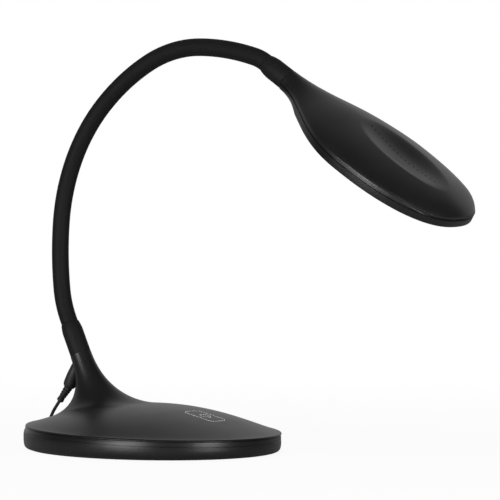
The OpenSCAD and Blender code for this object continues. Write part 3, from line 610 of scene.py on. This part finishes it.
tray = loft("tray", (
    [tray_ring(0.0052, 0.0012), tray_ring(0.0046, 0.0005), tray_ring(0.0034, 0.0004),
     tray_ring(0.0024, 0.0008), tray_ring(0.0016, 0.0014), tray_ring(0.0010, 0.0022),
     tray_ring(0.0005, 0.0034), tray_ring(0.0002, 0.0050), tray_ring(0, 0.0070)]
    + [rim_ring(b) for b in (0.0074, 0.0060, 0.0050, 0.0044)]
    + [rim_ring(0.0042, STEP_DEPTH), rim_ring(0.0038, STEP_DEPTH), rim_ring(0.0036)]
    + [rim_ring(b) for b in (0.0030, 0.0024, 0.0018, 0.0012, 0.0006, 0.0002)]
    + [rim_ring(0, 0.0003), rim_ring(0, 0.0024),
       tray_ring(0.0050, 0.0090), tray_ring(0.0072, 0.0037)]), capped=True)
dressed(tray, tray_black, "tray_plastic", "base", "base_tray")

# ---- Pad under the base --------------------------------------------------
# Thin black foam rubber glued to the tray; it stops the lamp sliding.
node["anti_slip_pad"].data.materials[0] = moulded("foam", (0.02, 0.02, 0.021), 0.85, 1400, 0.5)

# ---- Inner pieces of the base --------------------------------------------
# Cast-iron ballast, zinc-plated screws and nut, the touch board with its parts, and
# the leads, which run on up the neck and into the head.
cast_iron = moulded("cast_iron", (0.09, 0.088, 0.085), 0.6, 500, 0.4, 0.6)
steel = moulded("zinc_steel", (0.55, 0.56, 0.58), 0.32, 1500, 0.05, 1.0)
spring_brass = moulded("spring_brass", (0.60, 0.47, 0.22), 0.3, 1500, 0.05, 1.0)
board_green = moulded("board_green", (0.02, 0.10, 0.045), 0.45, 600, 0.06)
part_black = moulded("part_black", (0.02, 0.02, 0.022), 0.5, 1200, 0.06)
wire_white = moulded("wire_white", (0.72, 0.72, 0.70), 0.5, 900, 0.05)
node["ballast_weight"].data.materials[0] = cast_iron
node["touch_spring"].data.materials[0] = spring_brass
node["control_board"].data.materials[0] = board_green
node["board_parts"].data.materials[0] = part_black
for name in ("cover_screws", "ballast_screws", "board_screws", "neck_nut", "head_nut",
             "led_screws"):
    node[name].data.materials[0] = steel
for name in ["base_lead", "supply_lead", "head_lead"] + [f"neck_wires_{k}" for k in range(1, 9)]:
    node[name].data.materials[0] = wire_white

# ---- Lower collar --------------------------------------------------------
# A turned and painted sleeve on the cover's root, with a long softened rim; the
# neck's core is clamped in it.
COLLAR_R, COLLAR_BORE, CORE_BORE = 0.0092, 0.0076, 0.0045
SHANK_R, SHANK_LEN, LEAD_BORE = 0.0035, 0.009, 0.002
LOWER_COLLAR = 0.030
collar_black = moulded("collar_black", (0.0092, 0.0092, 0.0096), 0.58, 2200, 0.06, 0.0, 0.14)


def collar(name, start, direction, length, into, node_name, body):
    """A collar from its closed end at the start, open for the neck from "into" on."""
    piece = turned(name, [
        (LEAD_BORE, -SHANK_LEN), (SHANK_R, -SHANK_LEN), (SHANK_R, 0), (0.0087, 0),
        (0.0091, 0.0002), (COLLAR_R, 0.0007), (COLLAR_R, length - 0.0085),
        (0.0091, length - 0.0068), (0.0089, length - 0.0050), (0.0086, length - 0.0032),
        (0.0083, length - 0.0016), (0.0080, length - 0.0004), (COLLAR_BORE, length),
        (COLLAR_BORE, into), (CORE_BORE, into), (CORE_BORE, 0.002), (LEAD_BORE, 0.002),
        (LEAD_BORE, -SHANK_LEN)], toward(start, direction), 96)
    return dressed(piece, collar_black, "collar_metal", body, node_name)


collar("lower_collar", ROOT, ROOT_DIR, LOWER_COLLAR, 0.006, "lower_ferrule", "base")

# ---- Neck ----------------------------------------------------------------
# A wound steel core in one smooth sleeve of matt silicone rubber. The sleeve is made
# in lengths, each from mid-link to mid-link, over one joint.
SLEEVE_R, SLEEVE_WALL = 0.0075, 0.0025
NECK_FOOT, STRAIGHT = 0.0062, 0.034
TURNS = [18.5, 11.5, 20.5, 21.5, 17.5, 29.0, 15.0, 16.3]
RUNS = [0.028] + [0.0586] * 6 + [0.012]
rubber = moulded("neck_rubber", (0.0085, 0.0085, 0.0089), 0.62, 2200, 0.06, 0.0, 0.12)
core_steel = moulded("core_steel", (0.42, 0.43, 0.44), 0.38, 900, 0.2, 1.0)


def along(heading):
    """The direction in the lamp's plane at a heading in degrees above +X."""
    return Vector((math.cos(math.radians(heading)), 0, math.sin(math.radians(heading))))


def above(heading):
    """The direction square to a heading, on the outside of the neck's curve."""
    return Vector((-math.sin(math.radians(heading)), 0, math.cos(math.radians(heading))))


headings, centres, starts = [115.0], [], [ROOT + STRAIGHT * ROOT_DIR]
for run, bend in zip(RUNS, TURNS):
    radius = run / math.radians(bend)
    centres.append(starts[-1] - radius * above(headings[-1]))
    headings.append(headings[-1] - bend)
    starts.append(centres[-1] + radius * above(headings[-1]))
HEAD_DIR = along(headings[8])
HEAD_AT = starts[8] + 0.028 * HEAD_DIR


def spun(i, part, steps):
    """Carries the selected ring round a share of run i."""
    bpy.ops.mesh.spin(steps=steps, angle=math.radians(TURNS[i] * part), center=centres[i],
                      axis=(0, -1, 0))


def pushed(step, times):
    """Carries the selected ring straight on."""
    for _ in range(times):
        bpy.ops.mesh.extrude_region_move(TRANSFORM_OT_translate={"value": step})


for k in range(7):
    if k == 0:
        begin, heading = ROOT + NECK_FOOT * ROOT_DIR, headings[0]
    else:
        half_turn = Matrix.Rotation(math.radians(TURNS[k] / 2), 3, "Y")
        begin = centres[k] + half_turn @ (starts[k] - centres[k])
        heading = headings[k] - TURNS[k] / 2
    bpy.ops.mesh.primitive_circle_add(vertices=72, radius=SLEEVE_R - SLEEVE_WALL / 2,
                                      location=begin, rotation=(0, math.radians(90 - heading), 0))
    sleeve = bpy.context.object
    sleeve.name = f"neck_rubber_{k + 1}"
    bpy.ops.object.transform_apply(location=True, rotation=True, scale=True)
    bpy.ops.object.mode_set(mode="EDIT")
    bpy.ops.mesh.select_all(action="SELECT")
    if k == 0:
        pushed((STRAIGHT - NECK_FOOT) / 4 * ROOT_DIR, 4)
        spun(0, 1, 14)
    else:
        spun(k, 0.5, 14)
    if k < 6:
        spun(k + 1, 0.5, 14)
    else:
        spun(7, 1, 8)
        pushed(0.0218 / 4 * HEAD_DIR, 4)
    bpy.ops.object.mode_set(mode="OBJECT")
    wall = sleeve.modifiers.new("wall", "SOLIDIFY")
    wall.thickness = SLEEVE_WALL
    wall.offset = 0
    settle(sleeve)
    links = ["neck_sleeve_7", "neck_sleeve_8"] if k == 6 else [f"neck_sleeve_{k + 1}"]
    dressed(sleeve, rubber, "sleeve_rubber", None, *links)
    if k == 3:
        # This length is named from its far body back, which says the same: when all
        # joints stand at their top limits, the turn between these two bodies only
        # comes out cleanly this way round.
        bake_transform(sleeve)
    else:
        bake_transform(sleeve)
for k in range(1, 9):
    node[f"neck_core_{k}"].data.materials[0] = core_steel

# ---- Upper collar --------------------------------------------------------
# The twin of the lower collar, screwed into the neck of the head.
UPPER_COLLAR = 0.026
collar("upper_collar", HEAD_AT, -HEAD_DIR, UPPER_COLLAR, 0.005, "upper_ferrule", "head")

# ---- Head shell ----------------------------------------------------------
# One satin black moulding, spoon-shaped: narrow at the collar, full and domed over
# the lamp, with an upright lip along its seam, a long dish on top and a row of vents.
HEAD_LEN, HEAD_HALF, HEAD_FRONT = 0.1998, 0.0621, 0.0867
HEAD_SEAM, HEAD_LOW, HEAD_WALL = -0.0026, -0.0092, 0.0022
HEAD_MID, HEAD_CREST, COLLAR_HALF = HEAD_LEN - HEAD_FRONT, 0.0776, 0.0095
DISH_AT, DISH_LEN, DISH_WID, DISH_DEPTH = 0.1287, 0.0479, 0.0262, 0.0058
VENTS, VENT_R, VENT_PITCH, VENTS_AT = 17, 0.0008, 0.0046, 0.1271
LIP_ROUND = 0.00065
HEAD_PLACE = (Matrix.Translation(HEAD_AT) @ Matrix.Rotation(math.radians(34.8), 4, "Y")
              @ Matrix.Rotation(math.radians(4), 4, "X"))
shell_black = moulded("shell_black", (0.0085, 0.0085, 0.0090), 0.37, 2600, 0.05, 0.0, 0.50)


def cut(piece, tool):
    """Cuts a tool out of a piece and deletes the tool."""
    knife = piece.modifiers.new("cut", "BOOLEAN")
    knife.operation = "DIFFERENCE"
    knife.solver = "EXACT"
    knife.object = tool
    settle(piece)
    bpy.data.objects.remove(tool, do_unlink=True)


def half_at(x):
    """Half the head's width at x from the collar."""
    if x < HEAD_MID:
        share = 1 - ((HEAD_MID - x) / HEAD_MID) ** 2
        return COLLAR_HALF + (HEAD_HALF - COLLAR_HALF) * share ** 1.8
    return HEAD_HALF * max(0.0, 1 - ((x - HEAD_MID) / HEAD_FRONT) ** 2.4) ** (1 / 2.4)


def rise(x):
    """Height of the shell's ridge over its seam."""
    if x < HEAD_CREST:
        return 0.0121 + 0.0060 * (1 - ((HEAD_CREST - x) / HEAD_CREST) ** 2) ** 3.09
    return 0.0181 * max(0.0, 1 - ((x - HEAD_CREST) / (HEAD_LEN - HEAD_CREST)) ** 2.5) ** 0.467


def lip(x):
    """Height of the upright lip over the seam."""
    return 0.0036 * ease((x + 0.004) / 0.016) * ease((HEAD_LEN - x) / 0.034)


def shell_z(x, y):
    """Height of the shell without its dish: a round arch at the collar, leaner past it."""
    k = ease(x / 0.045)
    u = min(1.0, abs(y) / max(0.00001, half_at(x) - 0.0008))
    arch = (1 - u ** mix(2.1, 1.72, k)) ** mix(0.5, 0.69, k)
    return HEAD_SEAM + lip(x) + (rise(x) - lip(x)) * arch


def dish(x, y):
    """Depth of the dish below the shell."""
    return DISH_DEPTH * max(0.0, 1 - ((x - DISH_AT) / DISH_LEN) ** 2 - (y / DISH_WID) ** 2) ** 1.5


side = [(0, 0), (0, 0.0016), (0, 0.0032), (0, 0.0051), (0, 0.007), (0, 0.0083)]
side += [(x, half_at(x)) for x in [0.0001 + HEAD_MID * (k / 46) ** 1.15 for k in range(46)]]
side += [(HEAD_MID + HEAD_FRONT * math.sin(t) ** (1 / 1.2), HEAD_HALF * math.cos(t) ** (1 / 1.2))
         for t in [math.radians(90 * k / 44) for k in range(44)]]
outline = side + [(HEAD_LEN, 0)] + [(x, -y) for x, y in side[:0:-1]]


def drawn(p, w):
    """A point of the outline drawn in by w, except at the neck's end."""
    return p[0] * (1 - w / HEAD_LEN), p[1] * (1 - w / max(COLLAR_HALF, half_at(p[0])))


def inset(p, w):
    """A point of the outline drawn in by w all round."""
    return w + p[0] * (HEAD_LEN - 2 * w) / HEAD_LEN, drawn(p, w)[1]


def to_oval(p, rx, ry, cx):
    """Where the line from an oval's middle to a point meets the oval."""
    turn = math.atan2(p[1] / ry, (p[0] - cx) / rx)
    return cx + rx * math.cos(turn), ry * math.sin(turn)


def dish_ring(m):
    """A ring in the dish, from its edge at m 0 to its middle at m 1."""
    ring = []
    for p in outline:
        e = to_oval(p, DISH_LEN, DISH_WID, DISH_AT)
        x, y = mix(e[0], DISH_AT, m), mix(e[1], 0, m)
        ring.append(Vector((x, y, shell_z(x, y) - dish(x, y))))
    return ring


def shell_ring(m):
    """A ring on the shell, from its lip at m 0 to the dish's edge at m 1."""
    ring = []
    for p in outline:
        q, e = drawn(p, 0.0008), to_oval(p, DISH_LEN, DISH_WID, DISH_AT)
        x, y = mix(q[0], e[0], m), mix(q[1], e[1], m)
        ring.append(Vector((x, y, shell_z(x, y))))
    return ring


def flat_ring(w, z):
    """A level ring, drawn in from the outline by w."""
    return [Vector((*inset(p, w), z)) for p in outline]


def lip_ring(turn):
    """The rounded upper edge of the lip."""
    w, fall = 0.0001 + LIP_ROUND * (1 - math.sin(turn)), LIP_ROUND * (1 - math.cos(turn))
    return [Vector((*drawn(p, w), HEAD_SEAM + max(lip(p[0]) - fall, 0.0006 - 0.0002 * turn)))
            for p in outline]


def sunk(ring):
    """A ring of the shell's inner skin."""
    return [p - Vector((0, 0, HEAD_WALL)) for p in ring]


head_shell = loft("head_shell", (
    [dish_ring(1 - k / 44) for k in range(1, 44)]
    + [shell_ring(m) for m in (1, 0.97, 0.92, 0.85, 0.77, 0.68, 0.59, 0.5, 0.42, 0.34, 0.27, 0.21,
                               0.155, 0.11, 0.075, 0.05, 0.03, 0.017, 0.008, 0.002)]
    + [lip_ring(math.radians(t)) for t in (0, 18, 36, 54, 72, 90)]
    + [flat_ring(0, HEAD_SEAM + 0.0003), flat_ring(0.0001, HEAD_SEAM + 0.0002),
       flat_ring(0.0022, HEAD_SEAM + 0.0002), flat_ring(0.0024, HEAD_SEAM + 0.003)]
    + [sunk(shell_ring(m)) for m in (0.12, 0.4, 1)]
    + [sunk(dish_ring(m)) for m in (0.3, 0.7, 0.99)]), capped=True)
vents = []
for k in range(VENTS):
    bpy.ops.mesh.primitive_cylinder_add(
        vertices=20, radius=VENT_R, depth=0.02,
        location=(VENTS_AT + VENT_PITCH * (k - VENTS // 2), 0, 0.010))
    vents.append(bpy.context.object)
for vent in vents:
    vent.select_set(True)
bpy.ops.object.join()
cut(head_shell, bpy.context.object)
head_shell.data.transform(HEAD_PLACE)
dressed(head_shell, shell_black, "black_shell", "head", "head_shell")

# ---- Head ring -----------------------------------------------------------
# The black frame under the shell: it holds the light panel and takes four screws
# that pull it against the shell.
PANEL_AT, PANEL_LEN, PANEL_WID = 0.118, 0.070, 0.048
RING_SCREWS = ((0.034, 0.011), (0.034, -0.011), (0.150, 0.0495), (0.150, -0.0495))
SCREW_WELL_R = 0.0021


def corner_ring(turn):
    """The ring's lower edge: nearly a half round at the neck, tight along the lamp."""
    ring = []
    for p in outline:
        wide = max(0.0014, 0.0083 * (1 - (min(p[0], 0.040) / 0.040) ** 2))
        high = min(wide, 0.0060)
        x, y = drawn(p, wide * (1 - math.cos(turn)))
        ring.append(Vector((x + 0.0002, y, HEAD_LOW + high * (1 - math.sin(turn)))))
    return ring


def window_ring(spread, height):
    """A ring of the oval window that the light panel lies in."""
    half_len, half_wid = PANEL_LEN + spread, PANEL_WID + spread
    return [Vector((*to_oval(p, half_len, half_wid, PANEL_AT), HEAD_LOW + height)) for p in outline]


head_ring = loft("head_ring", [
    flat_ring(0.0022, HEAD_LOW + 0.0024), flat_ring(0.0022, HEAD_SEAM),
    flat_ring(0.0011, HEAD_SEAM), flat_ring(0.0010, HEAD_SEAM - 0.0005),
    flat_ring(0.0002, HEAD_SEAM - 0.0005), flat_ring(0, HEAD_SEAM - 0.0007)]
    + [corner_ring(math.radians(t)) for t in (0, 12, 24, 36, 48, 60, 72, 82, 90)]
    + [window_ring(0.0005, 0), window_ring(0.0001, 0.0003), window_ring(0, 0.002)], looped=True)
for x, y in RING_SCREWS:
    bpy.ops.mesh.primitive_cylinder_add(vertices=48, radius=SCREW_WELL_R, depth=0.006,
                                        location=(x, y, HEAD_LOW))
    cut(head_ring, bpy.context.object)
head_ring.data.transform(HEAD_PLACE)
dressed(head_ring, tray_black, "black_ring", "head", "head_ring")

# ---- Ring screws ---------------------------------------------------------
# Four small pan-head screws, sunk in the ring. One is turned and copied; the cross
# slots stand as they happened to stop, so each is cut at its own turn.
SCREW_SEAT, SCREW_HEAD, SLOT_TURN = HEAD_LOW + 0.002, 0.0014, 0.3
first_screw = turned("ring_screw", [
    (0, -SCREW_HEAD), (0.0013, -SCREW_HEAD), (0.0018, -0.0011), (0.0020, -0.0006), (0.0020, 0),
    (0.0011, 0), (0.0011, 0.009), (0, 0.009)], Matrix.Identity(4), 32)
screws = [first_screw]
for _ in RING_SCREWS[1:]:
    screws.append(bpy.data.objects.new("ring_screw", first_screw.data.copy()))
    bpy.context.scene.collection.objects.link(screws[-1])
for number, (screw, (x, y)) in enumerate(zip(screws, RING_SCREWS)):
    screw.data.transform(Matrix.Translation((x, y, SCREW_SEAT)))
    for quarter in (0, math.pi / 2):
        bpy.ops.mesh.primitive_cube_add(
            size=1, location=(x, y, SCREW_SEAT - SCREW_HEAD),
            rotation=(0, 0, SLOT_TURN + number + quarter), scale=(0.0022, 0.0005, 0.0016))
        cut(screw, bpy.context.object)
    screw.data.transform(HEAD_PLACE)
    dressed(screw, steel, "steel", "head", *(["ring_screws"] if number == 0 else []))

# ---- Light panel ---------------------------------------------------------
# An opal acrylic diffuser, held by its flange above the ring; behind it a white
# board with twenty yellow-white LEDs.
FLANGE, PANEL_GAP = 0.0022, 0.0004
opal = moulded("opal", (0.82, 0.83, 0.82), 0.35, 1200, 0.03)
opal.node_tree.nodes["Principled BSDF"].inputs["Subsurface Weight"].default_value = 0.4
opal.node_tree.nodes["Principled BSDF"].inputs["Subsurface Scale"].default_value = 0.002
board_white = moulded("board_white", (0.78, 0.79, 0.78), 0.45, 900, 0.04)
led_yellow = moulded("led_yellow", (0.80, 0.68, 0.25), 0.35, 1500, 0.04)


def panel_ring(shrink, height):
    """A level oval ring of the panel, smaller than its window."""
    half_len, half_wid = PANEL_LEN - shrink, PANEL_WID - shrink
    return [Vector((PANEL_AT + half_len * math.cos(a), half_wid * math.sin(a), HEAD_LOW + height))
            for a in [2 * math.pi * k / 200 for k in range(200)]]


panel = loft("panel", [
    panel_ring(0.0030, 0.0004), panel_ring(0.0007, 0.0004), panel_ring(PANEL_GAP, 0.0007),
    panel_ring(PANEL_GAP, 0.0020), panel_ring(-FLANGE, 0.0020), panel_ring(-FLANGE, 0.0032),
    panel_ring(0.0030, 0.0032)], capped=True)
panel.data.transform(HEAD_PLACE)
dressed(panel, opal, "opal", "head", "diffuser")
node["led_board"].data.materials[0] = board_white
node["leds"].data.materials[0] = led_yellow
